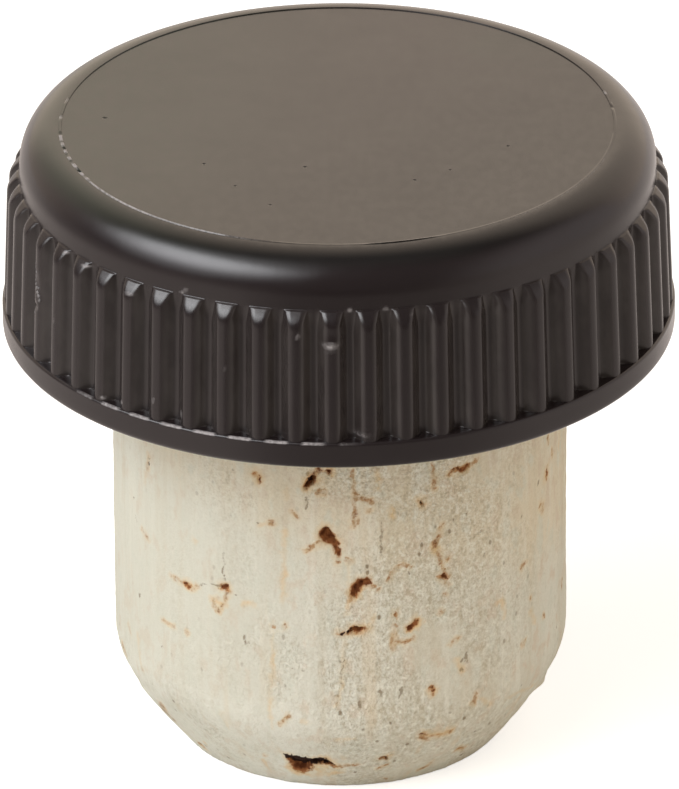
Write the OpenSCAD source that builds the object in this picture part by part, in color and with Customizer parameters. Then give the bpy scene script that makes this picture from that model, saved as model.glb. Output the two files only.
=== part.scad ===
// Bar-top bottle stopper: a ribbed plastic cap with a natural cork shank glued into
// its underside. Millimetres, +Z up, origin at the centre of the cork's free end.

/* [Cork] */
// Diameter of the cork shank
cork_d = 19.7; // [17:0.1:22]
// Length of cork that shows below the cap
cork_reach = 19; // [18:0.5:30]
// Height of the bevel on the cork's free end
bevel_h = 4.1; // [2:0.1:6]
// How far the bevel comes in at the free end
bevel_w = 2.7; // [0.5:0.1:4]
// How far the sanded bevel bulges out from a straight line
bevel_bulge = 0.14; // [0.05:0.01:0.3]
// Scale of the open pores in the cork's side
pore_scale = 1; // [0.5:0.1:1.3]

/* [Cap] */
// Diameter over the flange at the foot of the cap
flange_d = 29; // [29:0.1:32]
// Height of the flange
flange_h = 1.23; // [0.8:0.01:2]
// Radius of the flange's lower edge
flange_foot_r = 0.32; // [0.1:0.01:0.4]
// Radius of the flange's upper edge
flange_top_r = 0.1; // [0.05:0.01:0.2]
// Diameter of the body between the ribs, just below the rounded top edge
body_d = 27.34; // [27:0.01:27.6]
// Angle by which the sides draw in, so that the moulding leaves its tool
draft = 2.2; // [0.5:0.1:2.5]
// Height of the whole cap
cap_h = 9.32; // [9:0.01:12]
// Radius of the rounded top edge
top_edge_r = 1.69; // [1:0.01:1.7]

/* [Witness ring] */
// Flat left between the rounded top edge and the fine ring that the tool's end plate leaves
witness_inset = 0.03; // [0.03:0.01:1]
// Width of the ring
witness_w = 0.12; // [0.08:0.01:0.2]
// Height of the ring
witness_h = 0.04; // [0.02:0.01:0.08]

/* [Socket] */
// Depth of the socket that the cork is glued into
socket_depth = 4.5; // [3:0.1:6]
// How much narrower the socket squeezes the cork, on its diameter
squeeze = 0.4; // [0.2:0.05:0.8]
// Room for the glue all round the cork
glue_film = 0.05; // [0.02:0.01:0.15]
// Width of the lead-in at the socket's mouth
socket_lead = 0.3; // [0.1:0.05:0.5]

/* [Ribs] */
// Number of ribs round the cap
rib_count = 57; // [36:1:60]
// Height of a rib above the body
rib_h = 0.52; // [0.4:0.01:0.55]
// Width of a rib at its root
rib_root_w = 1.1; // [0.8:0.01:1.2]
// Width of a rib across its crest
rib_crest_w = 0.56; // [0.4:0.01:0.6]
// Radius along the two edges of the crest
rib_edge_r = 0.15; // [0.05:0.01:0.15]
// Height at which the ribs' rounded upper ends start
rib_end_z = 6.4; // [4:0.01:6.6]
// Radius of the ribs' rounded upper ends
rib_end_r = 0.8; // [0.6:0.01:0.9]
// Angle of the first rib round the cap, from the +X axis
rib_start = 3.5; // [0:0.1:6.3]

/* [Hidden] */

// A cut passes this far beyond the face it goes through
over = 1;
// A rib reaches this far into the body, so that the two are one
root = 0.4;
// The cut that rounds the ribs' ends stays this far off their crests
skim = 0.01;
// Facets round the small circles that round an edge
edge_fn = 24;
// Straight steps that make up the arc of the bevel
bevel_steps = 8;

cork_r = cork_d / 2;
squeezed_r = cork_r - squeeze / 2;
socket_r = squeezed_r + glue_film;
flange_r = flange_d / 2;
body_r = body_d / 2;
// Centre of the rounded top edge, and the height at which the drafted side runs into it
edge_centre = [body_r - top_edge_r, cap_h - top_edge_r];
side_top = edge_centre + top_edge_r * [cos(draft), sin(draft)];
// Radius of the drafted body at height z, between the ribs
function side_r(z) = side_top[0] + (side_top[1] - z) * tan(draft);

// Open pores in the cork's side: [angle, height, length, width, depth, turn from upright],
// each less than half as deep as it is long
PORES = [
    [-97, 16.1, 1.3, 0.45, 0.5, 15],
    [-111, 16.1, 0.8, 0.35, 0.3, 60],
    [-93, 13.6, 1.2, 0.5, 0.5, -40],
    [-149, 14.4, 1.6, 0.3, 0.3, 10],
    [-131, 9.9, 2.2, 0.5, 0.4, 80],
    [-122, 9.4, 1.2, 0.4, 0.4, -35],
    [-85, 11.1, 1.3, 0.6, 0.5, -70],
    [-88, 8.9, 1.5, 0.2, 0.3, 78],
    [-72, 9, 1.1, 0.4, 0.4, 30],
    [-101, 1.9, 1.9, 0.5, 0.8, 90],
    [-104, 4.8, 0.8, 0.35, 0.3, 40],
    [-24, 13.6, 1.4, 0.3, 0.3, 5],
    [-10, 7, 1.1, 0.4, 0.3, 0],
    [-64, 3.3, 1.2, 0.35, 0.3, 75]
];

// Half section of a plain ring: height h, outer radius r, and rounded outer edges
module rounded_slab(r, h, low_r, high_r) {
    square([r - max(low_r, high_r), h]);
    translate([0, low_r])
        square([r, h - low_r - high_r]);
    translate([r - low_r, low_r])
        circle(r = low_r, $fn = edge_fn);
    translate([r - high_r, h - high_r])
        circle(r = high_r, $fn = edge_fn);
}

// Half section of the cap without its ribs
module cap_section() {
    rounded_slab(flange_r, flange_h, flange_foot_r, flange_top_r);
    polygon([
        [0, flange_foot_r],
        [side_r(flange_foot_r), flange_foot_r],
        side_top,
        edge_centre,
        [edge_centre[0], cap_h],
        [0, cap_h]
    ]);
    translate(edge_centre)
        circle(r = top_edge_r);
}

// Raised ring with a square top, let into the cap so that the two are one
module witness_ring() {
    rotate_extrude()
        translate([edge_centre[0] - witness_inset - witness_w, cap_h - root])
            square([witness_w, root + witness_h]);
}

// Section across one rib, whose root is the line x = 0
module rib_section() {
    flank = atan((rib_root_w - rib_crest_w) / 2 / rib_h);
    half_root = rib_root_w / 2 + root * tan(flank);
    // the edge's centre lies one radius in from the crest and from the flank
    edge_y = rib_crest_w / 2 - rib_edge_r * tan(45 - flank / 2);
    edge_x = rib_h - rib_edge_r;
    flank_touch = [edge_x + rib_edge_r * sin(flank), edge_y + rib_edge_r * cos(flank)];
    polygon([
        [-root, -half_root],
        [flank_touch[0], -flank_touch[1]],
        [edge_x, -edge_y],
        [rib_h, -edge_y],
        [rib_h, edge_y],
        [edge_x, edge_y],
        flank_touch,
        [-root, half_root]
    ]);
    for (side = [-1, 1])
        translate([edge_x, side * edge_y])
            circle(r = rib_edge_r, $fn = edge_fn);
}

// One rib leans in with the body's side, and reaches down into the flange
module rib() {
    sunk = flange_h / 2;
    translate([side_r(sunk), 0, sunk])
        rotate([0, -draft, 0])
            linear_extrude(cap_h)
                rib_section();
}

// What the ribs may fill: a drafted side, then an arc in to the body
module rib_envelope() {
    crest_r = side_r(rib_end_z) + rib_h / cos(draft) + skim;
    foot_r = crest_r + rib_end_z * tan(draft);
    centre = [crest_r, rib_end_z] - rib_end_r * [cos(draft), sin(draft)];
    rotate_extrude() {
        polygon([
            [body_r - root, 0],
            [foot_r, 0],
            [crest_r, rib_end_z],
            centre,
            [body_r - root, centre[1]]
        ]);
        intersection() {
            translate(centre)
                circle(r = rib_end_r, $fn = edge_fn);
            translate([body_r - root, centre[1]])
                square(rib_end_r * 2);
        }
    }
}

module ribs() {
    intersection() {
        for (i = [0:rib_count - 1])
            rotate([0, 0, rib_start + i * 360 / rib_count])
                rib();
        rib_envelope();
    }
}

module socket() {
    translate([0, 0, -over])
        cylinder(r = socket_r, h = socket_depth + over);
    translate([0, 0, -over])
        cylinder(r1 = socket_r + socket_lead + over, r2 = socket_r, h = socket_lead + over);
}

module cap() {
    color("#2b2828")
        translate([0, 0, cork_reach])
            difference() {
                union() {
                    rotate_extrude()
                        cap_section();
                    witness_ring();
                    ribs();
                }
                socket();
            }
}

// Half section of the shank: a bevel sanded a little round, then straight up to the cap,
// then squeezed to the socket's width
module cork_section() {
    // the bevel is an arc that stands bevel_bulge off the chord between its two ends
    chord = norm([bevel_w, bevel_h]);
    bevel_r = chord * chord / 8 / bevel_bulge + bevel_bulge / 2;
    slope = atan2(bevel_w, bevel_h);
    sweep = asin(chord / 2 / bevel_r);
    centre = [cork_r - bevel_w / 2, bevel_h / 2] - (bevel_r - bevel_bulge) * [cos(slope), -sin(slope)];
    polygon(concat(
        [[0, 0]],
        [for (i = [0:bevel_steps]) let (a = sweep * (2 * i / bevel_steps - 1) - slope)
            centre + bevel_r * [cos(a), sin(a)]],
        [[cork_r, cork_reach]],
        [[squeezed_r, cork_reach + squeeze / 2]],
        [[squeezed_r, cork_reach + socket_depth]],
        [[0, cork_reach + socket_depth]]
    ));
}

// Radius of the shank at height z
function shank_r(z) = cork_r - bevel_w * max(0, 1 - z / bevel_h);

// Open pore: the pointed hollow that the rim of a thin, sharp-edged disc cuts
module pore(angle, height, length, width, depth, turn) {
    disc_r = (length * length / 4 + depth * depth) / 2 / depth;
    rotate([0, 0, angle])
        translate([shank_r(height) + disc_r - depth, 0, height])
            rotate([turn + 90, 0, 0])
                for (side = [0, 1])
                    mirror([0, 0, side])
                        cylinder(r1 = disc_r, r2 = disc_r - depth, h = width / 2, $fn = 32);
}

module cork() {
    color("#dcc9a8")
        difference() {
            rotate_extrude()
                cork_section();
            for (p = PORES)
                pore(p[0], p[1], p[2] * pore_scale, p[3] * pore_scale, p[4] * pore_scale, p[5]);
        }
}

$fn = 96;
cap();
cork();
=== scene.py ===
from math import atan2, cos, hypot, pi, radians, sin, tan

import bpy
import numpy as np
from mathutils import Matrix, Vector


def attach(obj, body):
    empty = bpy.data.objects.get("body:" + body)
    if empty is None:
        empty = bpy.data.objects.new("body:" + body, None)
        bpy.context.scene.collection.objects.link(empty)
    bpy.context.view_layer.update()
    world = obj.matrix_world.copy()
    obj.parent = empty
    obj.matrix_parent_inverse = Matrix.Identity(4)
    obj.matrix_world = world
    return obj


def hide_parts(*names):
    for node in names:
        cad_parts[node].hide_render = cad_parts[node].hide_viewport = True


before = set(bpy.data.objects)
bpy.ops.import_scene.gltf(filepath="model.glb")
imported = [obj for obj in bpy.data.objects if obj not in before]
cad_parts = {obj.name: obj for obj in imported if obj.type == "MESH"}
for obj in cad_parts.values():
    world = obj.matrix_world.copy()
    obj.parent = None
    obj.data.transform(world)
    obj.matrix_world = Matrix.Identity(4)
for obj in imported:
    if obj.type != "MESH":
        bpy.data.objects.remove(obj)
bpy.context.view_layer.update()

MM = 0.001

# ---------------------------------------------------------------------------------------------
# Camera: a long lens a little over half a metre away, looking down on the stopper at 26 degrees.
# It looks square at the middle of the cap's underside, and its aim is then turned a touch so that
# the stopper stands where it should in the frame.
# ---------------------------------------------------------------------------------------------
frame_w, frame_h = 679, 789
look_down = radians(26.105)
lens_px = 14000
px_per_m = 23170
roll = -0.007
middle_px = (338.9, 319.19)
aim = Vector((0, 0, 19 * MM))

to_camera = Vector((0, -cos(look_down), sin(look_down)))
flat_right = Vector((1, 0, 0))
flat_up = Vector((0, sin(look_down), cos(look_down)))
right = cos(roll) * flat_right + sin(roll) * flat_up
up = -sin(roll) * flat_right + cos(roll) * flat_up
centre_ray = Vector((frame_w / 2 - middle_px[0], middle_px[1] - frame_h / 2, -lens_px)).normalized()
aside = Vector((0, 0, -1)).rotation_difference(centre_ray).to_matrix()
camera_data = bpy.data.cameras.new("camera")
camera_data.sensor_width = 36
camera_data.lens = lens_px / frame_h * camera_data.sensor_width
camera_data.clip_end = 20
camera = bpy.data.objects.new("camera", camera_data)
bpy.context.scene.collection.objects.link(camera)
camera.matrix_world = (Matrix.Translation(aim + lens_px / px_per_m * to_camera)
                       @ (Matrix((right, up, to_camera)).transposed() @ aside).to_4x4())
bpy.context.scene.camera = camera
bpy.context.scene.view_settings.view_transform = "Standard"

# ---------------------------------------------------------------------------------------------
# The cap: one injection moulding in black plastic. A flat top with the fine ring that the tool's
# end plate leaves, a rounded edge, a plain band, 57 leaning ribs with rounded upper ends, a small
# flange round the foot, and underneath the socket that the cork is glued into.
# ---------------------------------------------------------------------------------------------
cap_z, cap_h = 19.0, 9.32
draft = radians(2.2)
flange_r, flange_h, foot_r, lip_r = 14.5, 1.23, 0.32, 0.1
body_r, edge_r = 13.67, 1.69
edge_centre = (body_r - edge_r, cap_h - edge_r)
side_top = (edge_centre[0] + edge_r * cos(draft), edge_centre[1] + edge_r * sin(draft))
socket_r, socket_depth, socket_lead = 9.7, 4.5, 0.3
ring_r, ring_w, ring_h, ring_slope = 11.95, 0.12, 0.04, 0.015
rib_count, rib_start = 57, radians(3.5)
rib_h, rib_root, rib_crest = 0.52, 0.60, 0.24
rib_end_z, end_step = 7.17, 0.08
crest_bend, end_bend, shoulder_bend, foot_bend = 0.30, 0.38, 0.08, 0.16


def side_r(z):
    """Radius of the drafted body between the ribs: a straight line that leans in by the draft."""
    return side_top[0] + (side_top[1] - z) * tan(draft)


def soft_min(a, b, k):
    """The smaller of two heights, with a parabola k wide in place of the crease between them."""
    return np.minimum(a, b) - np.maximum(k - abs(a - b), 0) ** 2 / (4 * k)


def soft_max(a, b, k):
    """The larger of two heights, with a parabola k wide in place of the crease between them."""
    return np.maximum(a, b) + np.maximum(k - abs(a - b), 0) ** 2 / (4 * k)


def rib_end(z):
    """Height above the body that a rib may reach at height z: a slope of 45 degrees, bent round
    into the crest below, that stops on a tiny step just above the body."""
    slope = soft_min(rib_h + 0.001, rib_end_z - z, end_bend)
    return soft_min(slope, (rib_end_z - end_step - z) * 5, 0.04)


def rib_foot(z):
    """Half width of a rib's root at height z: even, then a little narrower along the end."""
    return rib_root - 0.11 * np.clip((z - 6.3) / 0.7, 0, 1)


def rib_height(s, z):
    """Height of the ribs above the body, s millimetres from a rib's middle: a flat crest, a
    straight flank and the rounded upper end, each running into the next by a soft crease."""
    flank = rib_h * (rib_foot(z) - abs(s)) / (rib_foot(z) - rib_crest)
    section = soft_min(rib_h, flank, crest_bend)
    return soft_max(soft_min(section, rib_end(z), shoulder_bend), 0, foot_bend)


def hump(x, middle, half, power=2):
    """1 in the middle and nothing far from it: e to the minus (distance over half) to a power,
    so a higher power makes the top flatter and the sides steeper."""
    return np.exp(-((x - middle) / half) ** power)


def closed_skin(name, rings, low_pole, high_pole):
    """Mesh of a closed skin: rings[i, j] is the point in row i and column j, in millimetres. The
    columns run on round to the first, and each end row closes in a fan on its pole."""
    rows, cols = rings.shape[:2]
    points = np.vstack([rings.reshape(-1, 3), [low_pole], [high_pole]]) * MM
    j = np.arange(cols)
    k = (j + 1) % cols
    i = (np.arange(rows - 1) * cols)[:, None]
    quads = np.stack([i + j, i + k, i + cols + k, i + cols + j], -1).reshape(-1, 4)
    top = (rows - 1) * cols
    low_fan = np.stack([k, j, np.full(cols, rows * cols)], -1)
    high_fan = np.stack([top + j, top + k, np.full(cols, rows * cols + 1)], -1)
    mesh = bpy.data.meshes.new(name)
    mesh.from_pydata(points.tolist(), [], quads.tolist() + low_fan.tolist() + high_fan.tolist())
    mesh.shade_smooth()
    piece = bpy.data.objects.new(name, mesh)
    bpy.context.scene.collection.objects.link(piece)
    return piece


def keep_values(piece, name, values, at_poles):
    """Keep one value with each point of a closed skin, for its material: row by row, then the
    same value at both poles."""
    values = np.append(values.ravel(), [at_poles, at_poles]).astype(np.float32)
    piece.data.attributes.new(name, "FLOAT", "POINT").data.foreach_set("value", values)


# Rows as [radius, height above the cap's foot], from the socket's floor, out and down, round the
# foot, in along the flange's ledge, up the ribs, and over the rounded edge and the ring to the top
arc = np.linspace(0, pi / 2, 7)
body_foot = side_r(flange_h)
rows_low = [[5, socket_depth], [socket_r - 0.1, socket_depth], [socket_r, socket_depth],
            [socket_r, socket_lead], [socket_r + socket_lead, 0], [12, 0]]
rows_low += [[flange_r - foot_r + foot_r * sin(a), foot_r - foot_r * cos(a)] for a in arc]
rows_low += [[flange_r, 0.6], [flange_r, 0.95], [flange_r, 1.09]]
rows_low += [[flange_r - lip_r + lip_r * cos(a), flange_h - lip_r + lip_r * sin(a)] for a in arc[::2]]
rows_low += [[flange_r - lip_r + (body_foot - flange_r + lip_r) * t, flange_h + 0.05 * t ** 4]
             for t in np.linspace(0, 1, 7)[1:]]
rib_z = np.concatenate([[1.33, 1.4, 1.5], np.arange(1.7, 6.2, 0.2),
                        [6.28, 6.37, 6.46, 6.54, 6.61, 6.68, 6.75, 6.82, 6.88, 6.94, 6.99, 7.03],
                        [7.05, 7.062, 7.074, 7.086, 7.1, 7.12, 7.15, 7.2, 7.3, 7.5]])
rows_high = [[edge_centre[0] + edge_r * cos(a), edge_centre[1] + edge_r * sin(a)]
             for a in np.linspace(draft, pi / 2, 19)]
rows_high += [[ring_r + ring_slope, cap_h], [ring_r - ring_slope, cap_h + ring_h],
              [ring_r - ring_w / 2, cap_h + ring_h], [ring_r - ring_w + ring_slope, cap_h + ring_h],
              [ring_r - ring_w, cap_h], [ring_r - ring_w - 0.03, cap_h]]
rows_high += [[r, cap_h] for r in (11.5, 10.4, 9, 7, 4.5, 2)]
row_z = np.array([z for r, z in rows_low] + list(rib_z) + [z for r, z in rows_high])
row_r = np.array([r for r, z in rows_low] + list(side_r(rib_z)) + [r for r, z in rows_high])

# Columns across one rib: distances from its middle to a column in each row, which follow the
# edge of the crest as it spreads to the root along the rounded end
crease = rib_foot(row_z) - (rib_foot(row_z) - rib_crest) * np.clip(rib_end(row_z) / rib_h, 0, 1)
crease[row_z < 1.3] = rib_crest
root_out = np.maximum(rib_foot(row_z) + 0.06, crease + 0.12)
near = crease + 0.04
half = np.stack([crease * 0.45, crease - 0.03, near]
                + [near + t * (root_out - near) for t in (0.25, 0.5, 0.78)] + [root_out], 1)
spread = np.concatenate([-half[:, ::-1], np.zeros((len(row_z), 1)), half], 1)

# The same columns go round all the ribs, with one more up the middle of each groove
pitch = 2 * pi / rib_count
mid_groove = np.full((len(row_z), 1), pitch / 2)
body = np.maximum(side_r(row_z), 12)[:, None]
one_rib = np.concatenate([np.arctan2(spread, body), mid_groove], 1)
turns = rib_start + np.arange(rib_count) * pitch
angle = (turns[None, :, None] + one_rib[:, None, :]).reshape(len(row_z), -1)
across = np.tile(np.concatenate([spread, mid_groove * body], 1), (1, rib_count))
height = np.tile(row_z[:, None], (1, angle.shape[1]))
turned = np.degrees(np.arctan2(np.cos(angle), -np.sin(angle)))

# The ribs stand out in the rows from the flange's lip up to the plain band
on_side = ((row_z > flange_h - lip_r - 0.001) & (row_z < 7.6) & (row_r > 13))[:, None]
ribbed = np.maximum(row_r[:, None], side_r(height) + rib_height(across, height))
radius = np.where(on_side, ribbed, row_r[:, None])

# Wear on the sides: dents and burrs, and painted glints on some rib ends and feet, each (turn from the
# front in degrees, + to the right; height above the cap's foot; half width across; half height; how far
# out; how pale, from a scuff or a painted glint)
side_wear_and_glints = [
    (-64.4, 5.1, 0.2, 0.2, -0.04, 0), (-64, 4.7, 0.2, 0.25, -0.06, 0),
    (-63.6, 4.3, 0.2, 0.2, -0.06, 0), (-64.9, 3.7, 0.2, 0.1, -0.14, 0),
    (-58.2, 3.77, 0.05, 0.06, -0.05, 0.9), (-56.6, 6.98, 0.1, 0.045, 0.01, 1.6),
    (-50.4, 6.93, 0.14, 0.04, 0.01, 1.5), (-38.8, 6.65, 0.16, 0.04, 0.01, 1.3),
    (-28.8, 7.2, 0.06, 0.06, 0.02, 1), (-28.2, 7.32, 0.06, 0.06, 0.03, 1),
    (-1.6, 6.2, 0.3, 0.4, -0.08, 0), (-1.4, 5.68, 0.24, 0.035, 0.03, 1.4),
    (-1.4, 5.5, 0.2, 0.1, 0, 0.12), (-7, 6.11, 0.07, 0.05, -0.03, 0.45),
    (-44.5, 1.37, 0.07, 0.05, 0.02, 1.2), (-40.2, 1.5, 0.06, 0.05, 0.02, 1),
    (-33.4, 2.14, 0.05, 0.07, 0, 1), (-28.2, 1.69, 0.08, 0.06, 0.03, 1),
    (-30.1, 0.86, 0.05, 0.04, 0, 0.9), (-19.7, 4.37, 0.04, 0.05, 0, 0.8),
    (3.5, 1.55, 0.26, 0.09, 0.07, 0.5), (12.6, 6.9, 0.05, 0.05, 0, 0.9),
    (1.8, 7.12, 0.06, 0.08, 0.01, 0.9), (8.2, 7.1, 0.05, 0.07, 0.01, 0.7),
]
# Scuffs and painted highlights, gathered for the material
scuff_and_highlight = np.zeros(angle.shape)
flange_edge = (row_r > flange_r - 0.2)[:, None]
for at, up_z, wide, tall, out, paleness in side_wear_and_glints:
    spot = np.exp(-((turned - at) * radians(1) * 14 / wide) ** 2 - ((height - up_z) / tall) ** 2)
    radius = radius + np.where(on_side | flange_edge, out * spot, 0)
    scuff_and_highlight = np.maximum(scuff_and_highlight, np.where(on_side | flange_edge, paleness * spot, 0))

# Nicks in the fine ring, each (turn, half width in degrees, how far up, how scuffed)
ring_nicks = [
    (-102, 0.5, -0.02, 0.4), (-94, 0.5, -0.03, 0.4), (-86, 0.6, -0.05, 0), (-85, 0.5, 0, 1),
    (-83.6, 0.7, 0, 1), (-82, 0.4, -0.07, 0), (-80.8, 0.6, 0, 1), (-79, 0.5, -0.06, 0),
    (-77.6, 0.6, 0, 1), (-75.4, 0.6, -0.04, 0), (-74, 0.6, 0, 1), (-72, 0.5, -0.06, 0.2),
    (-70.4, 0.9, 0, 1.2), (-68.2, 0.9, -0.13, 0), (-66.4, 0.8, 0, 1.2), (-65, 0.5, -0.07, 0),
    (-63.6, 0.5, 0, 0.9), (104, 0.6, 0, 0.5), (97, 0.8, -0.03, 0),
]
lifted = height.copy()
on_ring = ((row_r < ring_r) & (row_r > ring_r - ring_w) & (row_z > cap_h))[:, None]
near_ring = ((row_r < ring_r + 0.02) & (row_r > ring_r - ring_w + 0.01) & (row_z >= cap_h))[:, None]
for at, wide, out, paleness in ring_nicks:
    spot = hump(turned, at, wide)
    lifted = lifted + np.where(on_ring, 1.3 * out * spot, 0)
    scuff_and_highlight = np.maximum(scuff_and_highlight, np.where(near_ring, 1.6 * paleness * spot, 0))

# The ring's outer edge carries a painted highlight at the front left and a little on the right, and the
# ring is nearly flat at the front and on the right, where a bit of its outer edge stands up yet
outer_edge = ((row_r < ring_r + 0.02) & (row_r > ring_r - 0.02) & (row_z >= cap_h))[:, None]
ring_edge_highlight = (1.1 * hump(turned, -54, 11, 4) + 0.65 * hump(turned, -36, 17, 4)
            + 0.15 * hump(turned, 55, 22, 4))
scuff_and_highlight = np.maximum(scuff_and_highlight, np.where(outer_edge, ring_edge_highlight, 0))
flat = 0.85 * hump(turned, 36, 54, 8) * (1 - outer_edge * hump(turned, 12.8, 8, 4))
lifted = lifted - np.where(on_ring, flat * (lifted - cap_h), 0)

# Between the ribs' feet the flange's upper edge carries a painted highlight at the front and on the left,
# and so do the ribs' sloping ends a little, whose faces widen upward
lip = (row_r < flange_r - 0.01) & (row_r > flange_r - lip_r - 0.01) & (row_z > 1.15) & (row_z < 1.24)
between = np.clip((abs(across) - 0.26) / 0.08, 0, 1) * lip[:, None]
scuff_and_highlight = np.maximum(scuff_and_highlight, 1.3 * hump(turned, -25, 23, 6) * between)
end_low, end_high = 6.66, 7.11
face = 0.06 + 0.32 * (height - end_low) / 0.43
on_end = (height > end_low) & (height < end_high) & on_side
end_highlight = on_end * hump(turned, -26, 18, 4) * np.clip((face - abs(across)) / 0.08, 0, 1)
scuff_and_highlight = np.maximum(scuff_and_highlight, 0.1 * end_highlight)

# The flanks of the ribs are painted a little paler, and the bottom of the grooves a little
pale_flanks = np.clip((abs(across) - 0.16) / 0.2, 0, 1) - 0.65 * np.clip((abs(across) - 0.6) / 0.06, 0, 1)
pale_flanks = pale_flanks * on_side * (height > 1.25) * np.clip((7.2 - height) / 0.3, 0, 1)

rings = np.stack([radius * np.cos(angle), radius * np.sin(angle), lifted + cap_z], -1)
cap = closed_skin("cap_moulding", rings, (0, 0, cap_z + socket_depth), (0, 0, cap_z + cap_h))
keep_values(cap, "scuff_and_highlight", scuff_and_highlight, 0)
keep_values(cap, "pale_flanks", pale_flanks, 0)
cap.data.set_sharp_from_angle(angle=radians(50))


class Nodes:
    """A node tree, cleared. node() adds a node with its inputs given by name, or by place as i0,
    i1 and so on, and an input whose value is another node's output is linked to it."""

    def __init__(self, owner):
        owner.use_nodes = True
        self.tree = owner.node_tree
        self.tree.nodes.clear()

    def node(self, kind, settings=None, **inputs):
        made = self.tree.nodes.new("ShaderNode" + kind)
        for key, value in (settings or {}).items():
            setattr(made, key, value)
        for key, value in inputs.items():
            self.put(made.inputs[int(key[1:]) if key[1:].isdigit() else key], value)
        return made

    def put(self, socket, value):
        """Set or link one input; a colour is (red, green, blue)."""
        if isinstance(value, bpy.types.NodeSocket):
            self.tree.links.new(value, socket)
        else:
            socket.default_value = (*value, 1) if socket.type == "RGBA" else value

    def maths(self, operation, *values):
        """The values, taken together one after another by a Math node: a sum, a largest one."""
        result = values[0]
        for value in values[1:]:
            result = self.node("Math", {"operation": operation}, i0=result, i1=value).outputs[0]
        return result

    def times(self, *values):
        """The product of the values."""
        return self.maths("MULTIPLY", *values)

    def ramp(self, value, low, high, out_low=0.0, out_high=1.0):
        """value mapped from low..high to out_low..out_high, smoothly and without going past."""
        return self.node("MapRange", {"interpolation_type": "SMOOTHSTEP"}, i0=value, i1=low, i2=high,
                         i3=out_low, i4=out_high).outputs[0]

    def blend(self, factor, a, b, how="MIX"):
        """From colour a, at factor 0, to colour b, or b mixed into a in another way, at 1."""
        return self.node("Mix", {"data_type": "RGBA", "blend_type": how},
                         i0=factor, i6=a, i7=b).outputs[2]

    def length(self, vector):
        """How far a point is from where its coordinates are all 0."""
        return self.node("VectorMath", {"operation": "LENGTH"}, i0=vector).outputs["Value"]

    def rays(self, *kinds):
        """1 for the named kinds of ray, such as Camera or Glossy, and 0 for the others."""
        path = self.node("LightPath").outputs
        return self.maths("MAXIMUM", *[path[f"Is {kind} Ray"] for kind in kinds])


class Finish(Nodes):
    """A piece's material: one Principled skin, with patterns on the object's own coordinates.
    Its colour and its relief are laid on in layers, and cover() puts them on the skin."""

    def __init__(self, name):
        self.material = bpy.data.materials.new(name)
        super().__init__(self.material)
        self.place = self.node("TexCoord").outputs["Object"]
        self.x, self.y, self.z = self.node("SeparateXYZ", Vector=self.place).outputs
        self.skin = self.node("BsdfPrincipled")
        self.node("OutputMaterial", Surface=self.skin.outputs[0])
        self.relief = None

    def kept(self, name):
        """The value of that name that is kept with the mesh's points."""
        return self.node("Attribute", {"attribute_name": name}).outputs["Fac"]

    def noise(self, scale, detail=2.0, roughness=0.5, stretch=(1, 1, 1)):
        """Noise, scale cells to a metre, whose cells grow longer along an axis as its figure in
        stretch falls below 1."""
        mapped = self.node("Mapping", Vector=self.place, Scale=stretch).outputs[0]
        return self.node("TexNoise", Vector=mapped, Scale=scale, Detail=detail,
                         Roughness=roughness).outputs[0]

    def paint(self, factor, colour):
        """Lay a colour over what is painted so far, as thickly as factor says."""
        self.colour = self.blend(factor, self.colour, colour)

    def emboss(self, height, strength, distance):
        """Raise a pattern by up to distance, in metres, on top of the relief so far."""
        made = self.node("Bump", Height=height, Strength=strength, Distance=distance)
        if self.relief is not None:
            self.put(made.inputs["Normal"], self.relief)
        self.relief = made.outputs[0]

    def cover(self, piece, roughness, specular):
        """Put the colour, the relief and the gloss on the skin, and the material on its piece."""
        self.put(self.skin.inputs["Base Color"], self.colour)
        self.put(self.skin.inputs["Normal"], self.relief)
        self.put(self.skin.inputs["Roughness"], roughness)
        self.skin.inputs["Specular IOR Level"].default_value = specular
        piece.data.materials.append(self.material)


plastic = Finish("black_satin_plastic")
grain = plastic.noise(9000, 2, 0.6)
plastic.colour = plastic.blend(plastic.noise(140, 3, 0.6), (0.0165, 0.0115, 0.012), (0.019, 0.0135, 0.014))

# A faint film of dust lies on the top in patches, a little green, and more of it to the left
on_top = plastic.ramp(plastic.z, 0.0276, 0.0283)
film = plastic.times(plastic.ramp(plastic.noise(110, 3, 0.6), 0.5, 0.72), 0.6)
film = plastic.maths("MAXIMUM", film, plastic.ramp(plastic.x, 0.004, -0.012, 0, 0.9))
plastic.paint(plastic.times(film, on_top), (0.017, 0.0255, 0.0175))

# To the front and the right the top is painted darker, as painted shade, under a thin mottled veil
painted_shade = plastic.ramp(plastic.maths("SUBTRACT", plastic.x, plastic.y), -0.008, 0.013)
plastic.paint(plastic.times(on_top, painted_shade), (0.002, 0.0015, 0.0015))
veil = plastic.times(plastic.ramp(plastic.noise(2400, 3, 0.65, (1, 0.6, 1)), 0.4, 0.62),
                     plastic.ramp(plastic.z, 0.02826, 0.02831))
plastic.paint(veil, plastic.blend(0.5, plastic.colour, (0.03, 0.026, 0.023)))


def dots(places, wander, outside, share, inside):
    """1 in ragged dots of the plastic and 0 round them, each dot (x, y, z, size) in millimetres.
    It fades in from size plus outside to a share of size plus inside; outside, inside and how far
    the edge wanders are in metres."""
    found = 0.0
    for x, y, z, size in places:
        off = plastic.node("VectorMath", {"operation": "DISTANCE"}, i0=plastic.place,
                           i1=(x * MM, y * MM, z * MM)).outputs["Value"]
        off = plastic.maths("ADD", off, plastic.times(grain, wander))
        found = plastic.maths("MAXIMUM", found, plastic.ramp(
            off, size * MM + outside, size * MM * share + inside))
    return found


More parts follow.
